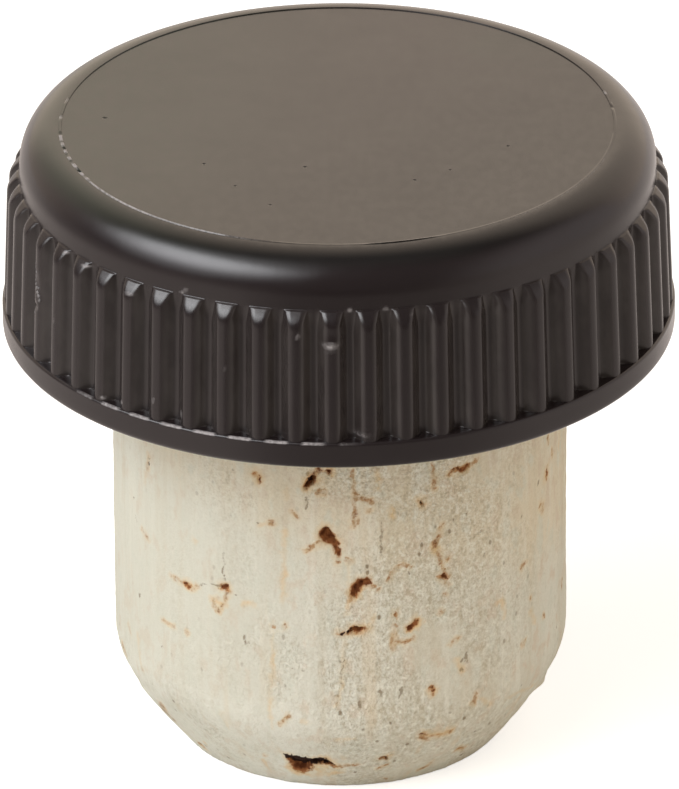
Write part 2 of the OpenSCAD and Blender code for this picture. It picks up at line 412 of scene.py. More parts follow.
# Specks pressed into the flat top, each (x, y, size) in millimetres
specks = [
    (-9.98, 0.76, 0.10), (-5.70, -3.90, 0.07), (-4.37, -6.09, 0.06), (-1.40, -4.27, 0.08),
    (4.77, -4.66, 0.06), (7.28, -2.32, 0.06), (-2.88, -7.98, 0.05), (3.28, -5.63, 0.07),
]
speck = dots([(x, y, cap_z + cap_h, size) for x, y, size in specks], 0.0001, 0.00008, 0.4, 0.00004)
plastic.paint(speck, (0.008, 0.006, 0.006))
# The rib flanks painted paler, in patches
patchy = plastic.ramp(plastic.noise(900, 3, 0.6, (1, 1, 0.5)), 0.35, 0.65, 0.5, 1)
plastic.paint(plastic.times(plastic.kept("pale_flanks"), patchy), (0.043, 0.036, 0.034))

# Chips along the chewed rib at the left: (turn from the front in degrees; height and size in mm)
chewed_r = 14.27
chips = [
    (-65.0, 24.66, 0.05), (-65.1, 24.5, 0.06), (-64.8, 24.32, 0.05), (-65.0, 24.1, 0.06),
    (-65.1, 23.92, 0.05), (-64.9, 23.74, 0.06), (-64.7, 23.58, 0.07), (-64.3, 23.42, 0.06),
    (-64.1, 23.62, 0.04), (-64.0, 23.26, 0.07), (-63.6, 23.1, 0.06), (-65.2, 22.36, 0.07),
]
chipped = dots([(chewed_r * sin(radians(at)), -chewed_r * cos(radians(at)), z, size)
                for at, z, size in chips], 0.00008, 0.0001, 1, 0.00001)

# Scuffs, and the painted highlights and glints, are pale, rough and broken
broken = plastic.ramp(plastic.noise(6500, 2, 0.6), 0.42, 0.58, 0.45, 1)
scuffs_and_highlights = plastic.maths("MINIMUM", plastic.times(plastic.kept("scuff_and_highlight"), broken), 1.0)
scuffs_and_highlights = plastic.maths("MAXIMUM", scuffs_and_highlights, plastic.times(chipped, broken, 0.8))
plastic.paint(scuffs_and_highlights, (0.38, 0.355, 0.36))
gloss_loss = plastic.maths("MAXIMUM", plastic.times(scuffs_and_highlights, 0.4), plastic.times(speck, 0.5))
satin = plastic.ramp(plastic.noise(400, 4, 0.6), 0.3, 0.7, 0.2, 0.26)
plastic.emboss(plastic.noise(700, 2), 0.1, 0.00005)
plastic.emboss(grain, 0.12, 0.00001)
plastic.emboss(speck, 0.6, -0.00005)
plastic.emboss(chipped, 0.8, 0.00012)
plastic.cover(cap, plastic.maths("ADD", satin, gloss_loss), 0.58)
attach(cap, "root")
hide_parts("cap")

# ---------------------------------------------------------------------------------------------
# The cork: one piece of natural cork, ground to a straight shank with a sanded bevel at its free
# end, and squeezed into the cap's socket with a film of glue. Its side cuts across open pores
# with rusty rims, thin cracks, and patches of fine crumbling cells.
# ---------------------------------------------------------------------------------------------
cork_r, squeezed_r = 9.85, 9.65
cork_reach, cork_top = 19.0, 23.5
bevel_h, bevel_w, bevel_bulge = 4.1, 2.7, 0.14
bevel_r = hypot(bevel_w, bevel_h) ** 2 / 8 / bevel_bulge + bevel_bulge / 2
bevel_slope = atan2(bevel_w, bevel_h)
bevel_centre = (cork_r - bevel_w / 2 - (bevel_r - bevel_bulge) * cos(bevel_slope),
                bevel_h / 2 + (bevel_r - bevel_bulge) * sin(bevel_slope))


def shank_r(z):
    """Radius of the shank at height z: the arc of the bevel, then straight, with the edge between
    them rubbed a little round."""
    rise = np.minimum(z, bevel_h + 0.6) - bevel_centre[1]
    return soft_min(bevel_centre[0] + np.sqrt(bevel_r ** 2 - rise ** 2), cork_r, 0.45)


def smooth_noise(x, y, seed):
    """Value noise, about -1 to 1: random values at whole numbers, joined by smooth curves."""
    table = np.random.default_rng(seed).uniform(-1, 1, (512, 512))
    xi, yi = np.floor(x).astype(int), np.floor(y).astype(int)
    u, v = x - xi, y - yi
    u, v = u * u * (3 - 2 * u), v * v * (3 - 2 * v)
    a, b = table[xi % 512, yi % 512], table[(xi + 1) % 512, yi % 512]
    c, d = table[xi % 512, (yi + 1) % 512], table[(xi + 1) % 512, (yi + 1) % 512]
    return (a * (1 - u) + b * u) * (1 - v) + (c * (1 - u) + d * u) * v


def stroke_gap(strokes, s, z):
    """Distance in mm from each point of the unrolled side to the nearest stroke's edge, negative
    inside it. A stroke is a chain of straight links whose half width changes evenly."""
    gap = np.full(s.shape, 1.0)
    for stroke in strokes:
        turns, heights, half = np.array(stroke if len(stroke) > 1 else stroke * 2).T
        along = np.radians(turns) * cork_r
        for i in range(len(along) - 1):
            ds, dz = along[i + 1] - along[i], heights[i + 1] - heights[i]
            t = ((s - along[i]) * ds + (z - heights[i]) * dz) / max(ds * ds + dz * dz, 1e-9)
            t = np.clip(t, 0, 1)
            off = np.hypot(s - along[i] - t * ds, z - heights[i] - t * dz)
            gap = np.minimum(gap, off - half[i] - t * (half[i + 1] - half[i]))
    return gap


# Marks on the cork's side, each a stroke: (turn from the front in degrees, + to the right; height
# and half width in mm). An open pore has its depth first
open_pores = [
    (0.4, [(118, 12.6, 0.16), (119.5, 12.2, 0.26), (120.6, 11.8, 0.14)]),
    (0.3, [(140, 6.2, 0.1), (143, 6, 0.2), (146, 6.1, 0.12)]),
    (0.45, [(165, 15.1, 0.2), (166, 14.7, 0.28), (166.6, 14.2, 0.12)]),
    (0.3, [(184, 9.4, 0.12), (187, 9.2, 0.2), (190, 9.3, 0.1)]),
    (0.35, [(205, 3.1, 0.14), (209, 2.9, 0.22), (213, 3, 0.12)]),
    (0.25, [(222, 13.2, 0.12), (223.5, 12.8, 0.18)]),
    (0.3, [(244, 7.6, 0.12), (246, 7.2, 0.2), (247, 6.8, 0.12)]),
    (0.3, [(98, 5.2, 0.12), (100, 5, 0.2)]),
    (0.3, [(156, 2, 0.1), (160, 1.9, 0.2), (163, 2, 0.1)]),
    (0.2, [(102, 16.6, 0.1), (102.6, 16.2, 0.16)]), (0.3, [(259, 12, 0.12), (260.5, 11.6, 0.18)]),
    (0.5, [(-6.6, 16.34, 0.14), (-7.5, 16.09, 0.17), (-8.2, 15.87, 0.13)]),
    (0.18, [(-6.5, 16.51, 0.05), (-5.1, 16.63, 0.06), (-4, 16.62, 0.05), (-2.6, 16.6, 0.07),
     (-2.1, 16.46, 0.06)]), (0.12, [(-21.8, 16.18, 0.08)]),
    (0.16, [(-20.7, 16, 0.09), (-20.5, 15.88, 0.06)]),
    (0.5, [(-3.8, 13.58, 0.3), (-3, 13.42, 0.28), (-1.7, 13.18, 0.16), (-1, 12.89, 0.1),
     (-0.6, 12.61, 0.07)]), (0.18, [(-42.6, 9.88, 0.11), (-41.6, 9.87, 0.1)]),
    (0.15, [(-31.1, 10.36, 0.09), (-30, 10.41, 0.09)]),
    (0.3, [(20.3, 14.88, 0.04), (20.7, 14.74, 0.07), (21.1, 14.6, 0.05)]),
    (0.15, [(29.9, 15.92, 0.06), (31.4, 15.91, 0.08), (32.8, 15.93, 0.1), (34.1, 15.97, 0.06)]),
    (0.25, [(26, 11.03, 0.07), (26.7, 11, 0.12), (27.5, 10.92, 0.07)]),
    (0.32, [(3.2, 10.6, 0.1), (3.5, 10.82, 0.19), (3.9, 11.08, 0.22), (4.8, 11.22, 0.2),
     (5.9, 11.27, 0.17), (7, 11.2, 0.1), (7.7, 11.08, 0.03)]),
    (0.35, [(-0.5, 8.81, 0.03), (1.5, 8.87, 0.06), (2.7, 8.94, 0.12), (4.2, 8.91, 0.15),
     (5.2, 8.97, 0.09), (6.2, 9.01, 0.04)]),
    (0.14, [(17.6, 8.82, 0.12), (18.3, 8.95, 0.17), (19.2, 9.08, 0.12)]),
    (0.12, [(13.8, 9.58, 0.08)]),
    (0.1, [(65.4, 13.9, 0.03), (65.1, 13.63, 0.06), (64.8, 13.37, 0.04)]),
    (0.18, [(-52.6, 0.83, 0.08), (-51.2, 0.74, 0.08)]),
    (0.6, [(-15.4, 2.12, 0.06), (-14.3, 1.8, 0.32), (-12.8, 1.54, 0.52), (-11, 1.68, 0.32),
     (-9, 1.85, 0.18)]),
    (0.4, [(-9.4, 1.86, 0.16), (-7, 1.93, 0.17), (-5, 1.94, 0.19), (-3.6, 1.8, 0.12),
     (-2, 1.62, 0.05)]), (0.1, [(21.3, 3.33, 0.05), (23.2, 3.24, 0.05)]),
    (0.15, [(24.6, 3.14, 0.06), (27.2, 3.04, 0.06)]),
    (0.15, [(28.8, 3.15, 0.05), (29.8, 3.15, 0.05)]),
    (0.12, [(37.1, 1.44, 0.05), (40.5, 1.28, 0.05)]),
    (0.25, [(11, 2.08, 0.07), (12.9, 2.07, 0.08)]), (0.25, [(23.5, 5.69, 0.09)]),
]
rusty_marks = [
    [(126, 14.8, 0.05), (126.6, 13.9, 0.07), (126.2, 13, 0.05)],
    [(150, 10.4, 0.06), (153, 10.5, 0.09)], [(176, 6.4, 0.05), (176.5, 5.2, 0.06)],
    [(198, 12.2, 0.06), (200, 11.9, 0.09)], [(231, 9.9, 0.05), (234, 10, 0.08)],
    [(215, 16.2, 0.05), (215.6, 15.2, 0.07)], [(252, 15.4, 0.06), (253, 14.8, 0.08)],
    [(110, 8.8, 0.05), (113, 8.9, 0.08)], [(-5.5, 15.56, 0.09), (-3.8, 15.57, 0.11)],
    [(-0.6, 12.61, 0.09), (-0.8, 12.32, 0.1)],
    [(-8.9, 12.75, 0.05), (-7.1, 12.91, 0.07), (-5.2, 13.12, 0.1)],
    [(-47.8, 9.95, 0.05), (-45.6, 9.92, 0.04), (-43.9, 9.88, 0.06), (-42.1, 9.88, 0.13),
     (-40.5, 9.81, 0.04), (-38.8, 10, 0.08)],
    [(-29.4, 10.26, 0.06), (-30.3, 9.79, 0.06), (-31.5, 9.35, 0.06), (-32.4, 9.16, 0.08),
     (-33.6, 9.35, 0.04), (-33.6, 9.64, 0.03), (-32.4, 9.79, 0.03)],
    [(-57.1, 15.15, 0.03), (-57.3, 14.8, 0.04), (-57.5, 14.44, 0.03)],
    [(-60.2, 11.33, 0.06), (-59, 11.25, 0.08), (-57.8, 11.15, 0.06)],
    [(-70.4, 5.97, 0.04), (-68.9, 5.8, 0.04), (-68.6, 5.63, 0.03)],
    [(-51.8, 7.6, 0.03), (-49.6, 7.58, 0.03), (-47.1, 7.57, 0.04)],
    [(-18.3, 13.82, 0.04), (-17.5, 13.88, 0.08), (-16.7, 13.95, 0.05)],
    [(-12.1, 14.62, 0.03), (-11.6, 14.48, 0.04), (-10.9, 14.33, 0.04)], [(-17.2, 8.99, 0.06)],
    [(-14.1, 9.01, 0.07)],
    [(2.9, 16.66, 0.03), (3.2, 16.18, 0.03), (3.8, 15.51, 0.05), (3.7, 14.94, 0.03),
     (3.6, 14.51, 0.06), (3.1, 13.89, 0.03)],
    [(3.9, 15.46, 0.05), (5.9, 15.25, 0.07), (8.2, 15.06, 0.05)], [(7.4, 14.71, 0.06)],
    [(4.1, 14.22, 0.07)], [(23.8, 16.55, 0.04), (23.9, 16.22, 0.04), (24.2, 15.35, 0.03)],
    [(28.5, 15.84, 0.05), (31.4, 15.95, 0.1), (34.4, 16, 0.1), (37.1, 16.05, 0.03)],
    [(26.5, 13.44, 0.06), (25.8, 13.13, 0.05), (24.9, 12.78, 0.06), (24.6, 12.45, 0.08),
     (25.1, 12.2, 0.06), (25.9, 11.78, 0.06), (26.4, 11.42, 0.06)],
    [(25, 10.99, 0.04), (28.1, 10.97, 0.04)], [(26.7, 11.26, 0.04), (27, 10.68, 0.04)],
    [(28, 11.74, 0.05)], [(28.4, 10.57, 0.05)], [(27.2, 10.13, 0.04)],
    [(11.8, 11.23, 0.03), (13.4, 11.61, 0.04), (15.2, 11.93, 0.08), (16.2, 11.88, 0.05),
     (17.5, 11.77, 0.05)], [(8, 11.01, 0.06)], [(9.3, 10.8, 0.04)],
    [(2.3, 10.58, 0.06), (2.1, 10.34, 0.04)], [(1.6, 12.36, 0.06), (2.3, 12.26, 0.06)],
    [(13.8, 9.07, 0.04), (13.1, 8.66, 0.07), (12.7, 8.28, 0.05), (12.8, 7.94, 0.03)],
    [(13.2, 8.07, 0.03), (14.1, 8.16, 0.03), (18.4, 8.28, 0.03)], [(13.8, 9.55, 0.1)],
    [(52.2, 9.96, 0.04), (53.5, 10, 0.08), (54.6, 10.04, 0.05)],
    [(61.7, 12.36, 0.03), (61.4, 12.14, 0.03), (62.5, 11.88, 0.03), (63.3, 12.04, 0.02),
     (62.8, 12.32, 0.02)], [(68.3, 14.49, 0.03), (68.6, 14.07, 0.03)],
    [(66.1, 15.29, 0.04), (66.1, 14.91, 0.04)], [(78.1, 7.32, 0.05), (78.1, 6.98, 0.05)],
    [(65.4, 13.95, 0.05), (65, 13.3, 0.05)], [(63.4, 6.79, 0.05)], [(56.4, 8.16, 0.04)],
    [(-75.8, 4.49, 0.1), (-73.8, 4.22, 0.1)], [(-61.8, 4.43, 0.08)], [(-42.5, 7.57, 0.05)],
    [(-59.2, 2.73, 0.12), (-62.1, 2.1, 0.15), (-60.1, 1.8, 0.12)],
    [(-13.4, 4.7, 0.06), (-15.8, 4.19, 0.06)],
    [(-14.8, 1.2, 0.1), (-12.6, 0.98, 0.12), (-10.4, 1.2, 0.1), (-8.8, 1.5, 0.08)],
    [(-2.4, 1.62, 0.05), (0.5, 1.68, 0.06), (4.6, 1.76, 0.03)], [(-22.9, 1.85, 0.05)],
    [(13.7, 1.51, 0.04), (11.1, 1.35, 0.04)],
    [(29.1, 0.97, 0.04), (27.5, 0.68, 0.05), (25.9, 0.54, 0.04)], [(14.8, 0.34, 0.05)],
    [(30.8, 7.83, 0.03), (28.6, 7.6, 0.03)], [(23.5, 5.44, 0.07)],
    [(36.3, 4.81, 0.05), (35.3, 4.39, 0.05)], [(52.8, 6.14, 0.04), (54.1, 6.34, 0.04)],
    [(25.8, 9.32, 0.08)], [(-52.3, 0.59, 0.06)], [(21.2, 3.14, 0.06), (24, 2.97, 0.06)],
    [(27, 2.81, 0.04)],
]
tan_smudges = [
    [(-57.8, 14.42, 0.06), (-59.1, 13.7, 0.06)], [(-39.7, 12.17, 0.09)],
    [(-13.5, 15.69, 0.03), (-13.6, 15.12, 0.03)],
    [(-25.5, 9.74, 0.08), (-23.8, 9.85, 0.1), (-22.2, 9.81, 0.08)],
    [(-14.1, 13.6, 0.05), (-14.2, 12.4, 0.08), (-14.6, 10.2, 0.06)],
    [(-4.5, 16.19, 0.19), (-4, 15.9, 0.15)], [(-20.7, 13.75, 0.03), (-18.3, 13.77, 0.03)],
    [(13.2, 14.71, 0.07), (13.2, 14.23, 0.1)],
    [(9, 16.5, 0.04), (10.2, 16.1, 0.05), (9.4, 15.64, 0.04)], [(19, 8.79, 0.16)],
    [(2.1, 12.07, 0.04), (1.8, 10.92, 0.03), (1.6, 9.67, 0.04)],
    [(1, 8.51, 0.04), (0.4, 7.36, 0.04), (0, 6, 0.04), (-1.2, 5.27, 0.04)],
    [(43, 8.84, 0.1), (45.1, 8.94, 0.1), (45.8, 7.98, 0.07)],
    [(56.9, 7.5, 0.13), (58.8, 6.86, 0.09)], [(74.7, 14.78, 0.03), (74.7, 13.91, 0.03)],
    [(-63.8, 6.03, 0.03), (-61.8, 4.53, 0.04)], [(-32.5, 4.17, 0.03), (-30.9, 3.39, 0.03)],
    [(-17.2, 8.79, 0.06), (-17.6, 7.96, 0.05), (-17.5, 6.71, 0.06), (-18.2, 4.84, 0.06),
     (-18.1, 3.99, 0.04)], [(-10, 4.4, 0.05), (-8.6, 4.45, 0.04)],
    [(6.2, 9.06, 0.06), (7.5, 9.28, 0.05), (8.5, 9.51, 0.04)],
    [(-3.3, 3.5, 0.02), (0.5, 3.52, 0.03), (2.9, 3.6, 0.02)],
    [(-24, 1.53, 0.04), (-24.2, 0.66, 0.04)], [(24.6, 12.5, 0.2), (25.2, 12.1, 0.16)],
    [(-8, 1.35, 0.3), (-4, 1.2, 0.25), (0, 1.3, 0.15)],
    [(65.8, 3.18, 0.04), (55.5, 3.68, 0.04), (48.8, 3.88, 0.04)],
    [(30.3, 6.81, 0.1), (32.1, 6.14, 0.1)], [(36.3, 4.71, 0.04), (42.6, 3.86, 0.03)],
    [(-47.9, 1.24, 0.14)], [(-34.2, 9.61, 0.16), (-31.2, 9.56, 0.14)], [(25.6, 12.32, 0.26)],
    [(26.7, 10.83, 0.22)], [(4.8, 10.7, 0.12)],
    [(-14, 1.3, 0.6), (-9, 1.2, 0.55), (-2.1, 1.4, 0.4)], [(24, 3.13, 0.22)], [(32, 15.93, 0.24)],
    [(-2.6, 13.32, 0.43)], [(-5.5, 16.18, 0.35)], [(3.5, 8.94, 0.26)], [(18.8, 8.89, 0.3)],
]
grey_specks = [
    [(-38.2, 10.13, 0.02), (-34.7, 10.31, 0.02), (-31.4, 10.39, 0.03)],
    [(-30.6, 12.04, 0.02), (-30.7, 10.69, 0.02)], [(-27.8, 10.09, 0.04)], [(-27.8, 9.65, 0.04)],
    [(-62.9, 8.05, 0.04), (-62.9, 7.85, 0.03)], [(-21.2, 13.83, 0.05)],
    [(-8.6, 15.39, 0.03), (-8.5, 15.05, 0.04), (-8.5, 14.72, 0.03)], [(-27.9, 16.13, 0.06)],
    [(-65, 12.53, 0.03)], [(-64.2, 11.72, 0.02), (-63.7, 11.47, 0.02)],
    [(10.4, 14.09, 0.03), (10.3, 13.33, 0.04), (10.4, 12.46, 0.03)], [(13.2, 14.37, 0.04)],
    [(33.1, 13.67, 0.05)], [(34.6, 13.83, 0.05)], [(38, 12.64, 0.08)], [(36.8, 12.52, 0.05)],
    [(35.5, 12.44, 0.05)], [(29.3, 13.7, 0.03), (29.3, 13.37, 0.03)], [(39, 11.44, 0.05)],
    [(39, 15.09, 0.03)], [(45.9, 14.73, 0.03)], [(52.5, 12.41, 0.04)], [(43.7, 9.42, 0.05)],
    [(44.7, 9.31, 0.03)], [(72.9, 5.52, 0.04)], [(60.9, 13.58, 0.03), (60.3, 13.28, 0.03)],
    [(-51.9, 6.23, 0.03)], [(-39.9, 5.02, 0.04)], [(-33.8, 2.84, 0.05)],
    [(-25.1, 8.21, 0.03), (-25.1, 7.87, 0.03)], [(-23.6, 7.97, 0.04)], [(-28, 7.62, 0.04)],
    [(-12.2, 7.03, 0.05)], [(-10, 6.97, 0.07)], [(-6.7, 10.2, 0.05)],
    [(33.3, 7.05, 0.05), (33, 6.83, 0.04), (33.6, 6.5, 0.05)], [(32.2, 6.6, 0.08)],
    [(31.8, 6.2, 0.06)], [(0.4, 7.79, 0), (0, 6.58, 0), (-1.2, 5.27, 0)], [(53.2, 4.12, 0.04)],
    [(13, 16.53, 0.03)], [(20.5, 16.47, 0.03)], [(44.4, 8.65, 0.03)], [(18.9, 13.27, 0.03)],
    [(16.8, 12.71, 0.03)], [(27.6, 11.85, 0.04)], [(1.4, 6.48, 0.03)], [(5.9, 7.76, 0.03)],
    [(9.7, 6.01, 0.03), (9.7, 5.72, 0.03)], [(15, 5.9, 0.03), (15, 5.56, 0.03)],
    [(18.2, 4.75, 0.03)], [(4.6, 5.44, 0.03), (4.6, 5.15, 0.03)],
]
# Painted shadow in black, where the upper edges of the deepest pores hang over
painted_pore_shadows = [
    [(-14.6, 1.8, 0.12), (-12.7, 1.62, 0.28), (-10.4, 1.78, 0.12), (-6.5, 1.86, 0.08)],
    [(-16.4, 2.22, 0.03), (-15.2, 2.06, 0.16), (-14, 1.98, 0.26), (-12, 1.94, 0.28),
     (-10, 1.93, 0.18), (-8.6, 1.94, 0.14), (-6.3, 2, 0.19), (-4.9, 1.97, 0.17), (-3.7, 1.87, 0.09),
     (-2, 1.66, 0.04)], [(-0.4, 8.8, 0.03), (1.4, 8.88, 0.05), (3, 9, 0.06), (4.6, 9.07, 0.04)],
    [(20.4, 14.86, 0.03), (21, 14.64, 0.05)], [(-56.8, 15.1, 0.03), (-56.6, 14.75, 0.03)],
    [(-4.4, 13.75, 0.05), (-3.2, 13.7, 0.04)], [(-7.8, 16.2, 0.05), (-8.3, 15.95, 0.05)],
    [(12.2, 2.12, 0.05)],
]

# The grid is fine over the front, where the marks are, and coarser behind. Below it the rows close
# the free end, and above it they go in under the cap and over the squeezed end
side_deg = np.concatenate([np.linspace(-86, 86, 400, endpoint=False),
                           np.linspace(86, 274, 150, endpoint=False)])
end_r = [2.5, 4.8, 6.4, 7.0]
hidden_z = [cork_reach + 0.2, 21, cork_top - 0.1, cork_top, cork_top]
hidden_r = [squeezed_r, squeezed_r, squeezed_r, squeezed_r - 0.1, 5]
bare_z = np.arange(0.02, cork_reach - 0.02, 0.115)
level_z = np.concatenate([np.full(len(end_r), 0.0), bare_z, [cork_reach], hidden_z])
level_r = shank_r(level_z)
level_r[:len(end_r)] = end_r
level_r[-len(hidden_r):] = hidden_r
turn, z = np.meshgrid(np.radians(side_deg), level_z)
s = turn * cork_r

# The strokes' edges wander, so the marks are looked up at places that noise has pushed about
pushed = [0.07 * smooth_noise(s * 4 + 80, z * 4 + 40, seed)
          + 0.06 * smooth_noise(s * 9 + 160, z * 9 + 90, seed + 1) for seed in (11, 13)]
mark_s, mark_z = s + pushed[0], z + pushed[1]
pore_gap = np.full(s.shape, 1.0)
depth = np.zeros(s.shape)
for deep, stroke in open_pores:
    gap = stroke_gap([stroke], mark_s, mark_z)
    pore_gap = np.minimum(pore_gap, gap)
    t = np.clip(-gap / (0.7 * max(half for _, _, half in stroke)), 0, 1)
    depth = np.maximum(depth, 0.8 * deep * t * t * (3 - 2 * t))

# The ground side is gently uneven. A torn flake stands out of the bevel's right-hand edge with a
# nick under it, a thin chip lies on the left, and the bevel's upper edge wanders up and down
relief = (0.022 * smooth_noise(s * 0.9 + 30, z * 0.5 + 30, 21)
          + 0.014 * smooth_noise(s * 3 + 60, z * 1.5 + 60, 22)
          + 0.010 * smooth_noise(s * 8 + 160, z * 7 + 120, 23) - 0.03)
flake_s, flake_z = radians(73) * cork_r, 2.68
flake = 0.17 * hump(z, flake_z, 0.15) - 0.13 * hump(z - flake_z, -0.42, 0.24)
relief = relief + hump(s, flake_s, 0.9) * flake
chip = hump(s, radians(-66) * cork_r, 1.5, 4) * np.clip((2.95 - z) / 0.12, 0, 1)
relief = relief + 0.07 * chip * np.clip((z - 1.6) / 1.2, 0, 1)
edge_wander = 0.25 * smooth_noise(s * 0.6 + 20, 0.5 + 0 * z, 31)
wandering = shank_r(z + edge_wander * np.clip((z - 0.3) / 2, 0, 1))
radius = np.where((z > 0.3) & (z < 8), wandering, level_r[:, None])
radius = radius + np.where((z > 0.01) & (z < cork_reach - 0.05), relief - depth, 0)
rings = np.stack([radius * np.sin(turn), -radius * np.cos(turn), z], -1)
cork = closed_skin("cork_shank", rings, (0, 0, 0), (0, 0, cork_top))
cork.data.set_sharp_from_angle(angle=radians(60))
keep_values(cork, "pore", pore_gap, 1)
for kind, strokes in [("rust", rusty_marks), ("tan", tan_smudges), ("speck", grey_specks),
                      ("black", painted_pore_shadows)]:
    keep_values(cork, kind, stroke_gap(strokes, mark_s, mark_z), 1)

bark = Finish("natural_cork")


def within(kind, wander, inner, outer):
    """1 inside the marks of one kind and 0 beyond them, from the distance kept in the mesh. The
    edge fades from inner to outer, in millimetres, and wander makes it ragged."""
    return bark.ramp(bark.maths("ADD", bark.kept(kind), wander), outer, inner)


fine = bark.maths("SUBTRACT", bark.noise(9000, 3, 0.65), 0.5)
coarse = bark.maths("SUBTRACT", bark.noise(2600, 3, 0.6), 0.5)
ragged = bark.maths("ADD", bark.times(fine, 0.22), bark.times(coarse, 0.16))

# The ground colour: pale below and warm near the cap, in upright streaks and soft clouds
streak = bark.ramp(bark.noise(420, 4, 0.6, (1, 1, 0.05)), 0.35, 0.65)
cloud = bark.noise(330, 4, 0.6, (1, 1, 0.6))
near_cap = bark.ramp(bark.maths("ADD", bark.z, bark.times(bark.x, 0.35)), 0.009, 0.017)
bark.colour = bark.blend(bark.ramp(bark.maths("ADD", near_cap, bark.times(cloud, 1.2)), 0.7, 1.5),
                         bark.blend(streak, (0.70, 0.675, 0.58), (0.755, 0.74, 0.65)),
                         bark.blend(streak, (0.75, 0.66, 0.50), (0.79, 0.71, 0.565)))

# It is painted paler on the left near the cap and on the bevel, painted light where the cap's shade and the
# downward facing bevel darken it, and it is browner on the front of the bevel and up the right
on_bevel = bark.ramp(bark.z, 0.006, 0.0038)
to_left = bark.ramp(bark.x, 0.002, -0.004)
at_front = bark.times(bark.ramp(bark.x, -0.003, 0.001), bark.ramp(bark.x, 0.0105, 0.008))
to_right = bark.times(bark.ramp(bark.x, -0.002, 0.003, 0, 0.42), bark.ramp(bark.x, 0.0092, 0.006, 0.2, 1),
                      bark.ramp(bark.z, 0.008, 0.0125, 0.6, 1))
# Painted light: paler on the left just under the cap, against the cap's shade
bark.paint(bark.times(near_cap, to_left, 0.35), (0.90, 0.82, 0.66))
# Painted light: paler on the left of the downward facing bevel
bark.paint(bark.times(on_bevel, to_left, 0.8), (0.89, 0.88, 0.80))
bark.paint(bark.times(on_bevel, at_front, 0.3), (0.60, 0.55, 0.43))
bark.paint(to_right, (0.68, 0.60, 0.45))

# A mottle a millimetre across, and faint upright streaks as wide as a hair or two
mottle = bark.noise(1150, 3, 0.6, (1, 1, 0.6))
bark.paint(bark.ramp(mottle, 0.53, 0.66, 0, 0.5), (0.68, 0.55, 0.42))
bark.paint(bark.ramp(mottle, 0.47, 0.34, 0, 0.5), (0.68, 0.685, 0.59))
hairs = bark.noise(1500, 3, 0.6, (1, 1, 0.06))
bark.paint(bark.ramp(hairs, 0.53, 0.68, 0, 0.3), (0.62, 0.55, 0.41))
bark.paint(bark.ramp(hairs, 0.47, 0.32, 0, 0.4), (0.85, 0.83, 0.73))

# The left of the cork is close and smooth; the right and the bevel are of loose crumbling cells
loose = bark.ramp(bark.maths("ADD", bark.x, bark.times(cloud, 0.012)), -0.003, 0.006, 0.1, 1)
loose = bark.maths("MAXIMUM", loose, bark.ramp(bark.z, 0.007, 0.0028, 0, 0.85))
patch = bark.times(loose, bark.ramp(bark.noise(250, 3, 0.6, (1, 1, 0.7)), 0.43, 0.57, 0.25, 1),
                   bark.ramp(bark.x, 0.005, 0.0085, 1, 0.4))
crumbs = bark.noise(4300, 3, 0.6, (1, 1, 0.75))
bark.paint(bark.times(bark.ramp(crumbs, 0.52, 0.66, 0, 0.54), patch), (0.47, 0.40, 0.27))
bark.paint(bark.times(bark.ramp(crumbs, 0.48, 0.35, 0, 0.68), patch), (0.89, 0.865, 0.75))
grains = bark.times(bark.maths("ADD", bark.times(patch, 0.75), 0.15),
                    bark.ramp(bark.z, 0.003, 0.011, 0.6, 1))
bark.paint(bark.times(bark.ramp(fine, 0.015, 0.14, 0, 0.48), grains), (0.44, 0.37, 0.25))
bark.paint(bark.times(bark.ramp(fine, -0.02, -0.14, 0, 0.56), grains), (0.88, 0.86, 0.78))

# Thin dark threads and broader tan veins run upright, and the lower left is a little greyer
threads = bark.noise(2600, 3, 0.6, (1, 1, 0.03))
bark.paint(bark.ramp(threads, 0.58, 0.74, 0, 0.2), (0.56, 0.48, 0.35))
veins = bark.noise(760, 3, 0.6, (1, 1, 0.045))
bark.paint(bark.ramp(veins, 0.56, 0.72, 0, 0.42), (0.76, 0.62, 0.44))
greyed = bark.ramp(bark.z, 0.011, 0.017, 0.5, 0.1)
bark.paint(bark.ramp(bark.x, 0.001, -0.006, 0, greyed), (0.68, 0.66, 0.55))

# Here and there among the crumbling cells one is open, a dark dot
cells = bark.node("Mapping", Vector=bark.place, Scale=(1, 1, 0.7)).outputs[0]
cells = bark.node("TexVoronoi", Vector=cells, Scale=1700.0).outputs
chosen = bark.node("SeparateColor", Color=cells["Color"]).outputs[0]
chosen = bark.maths("GREATER_THAN", chosen, 0.55)
dot = bark.ramp(bark.maths("ADD", cells["Distance"], bark.times(fine, 0.25)), 0.17, 0.08, 0, 0.8)
dot = bark.times(dot, chosen, patch)
bark.paint(dot, (0.25, 0.18, 0.10))

# Tan stains spread round the marks, and the rust lies unevenly in them, more of it to the right
stain = bark.ramp(bark.noise(1300, 3, 0.6), 0.35, 0.65, 0.25, 1)
smudge = bark.maths("MAXIMUM", bark.times(within("tan", bark.times(coarse, 0.5), -0.18, 0.18), 0.75),
                    bark.times(within("pore", bark.times(coarse, 0.6), 0.02, 0.36), 0.62),
                    bark.times(within("rust", bark.times(coarse, 0.4), 0.0, 0.24), 0.45))
bark.paint(bark.times(smudge, stain), (0.77, 0.52, 0.23))
bark.paint(bark.times(within("speck", ragged, -0.02, 0.05), 0.68), (0.22, 0.155, 0.08))
rust = bark.times(bark.ramp(bark.noise(3600, 3, 0.6), 0.36, 0.6, 0.12, 0.95),
                  bark.ramp(bark.x, -0.008, -0.001, 0.5, 1.0))
bark.paint(bark.times(within("rust", ragged, 0.0, 0.09), rust), (0.46, 0.27, 0.13))
bark.paint(bark.times(within("rust", ragged, -0.07, -0.015), rust), (0.20, 0.075, 0.022))
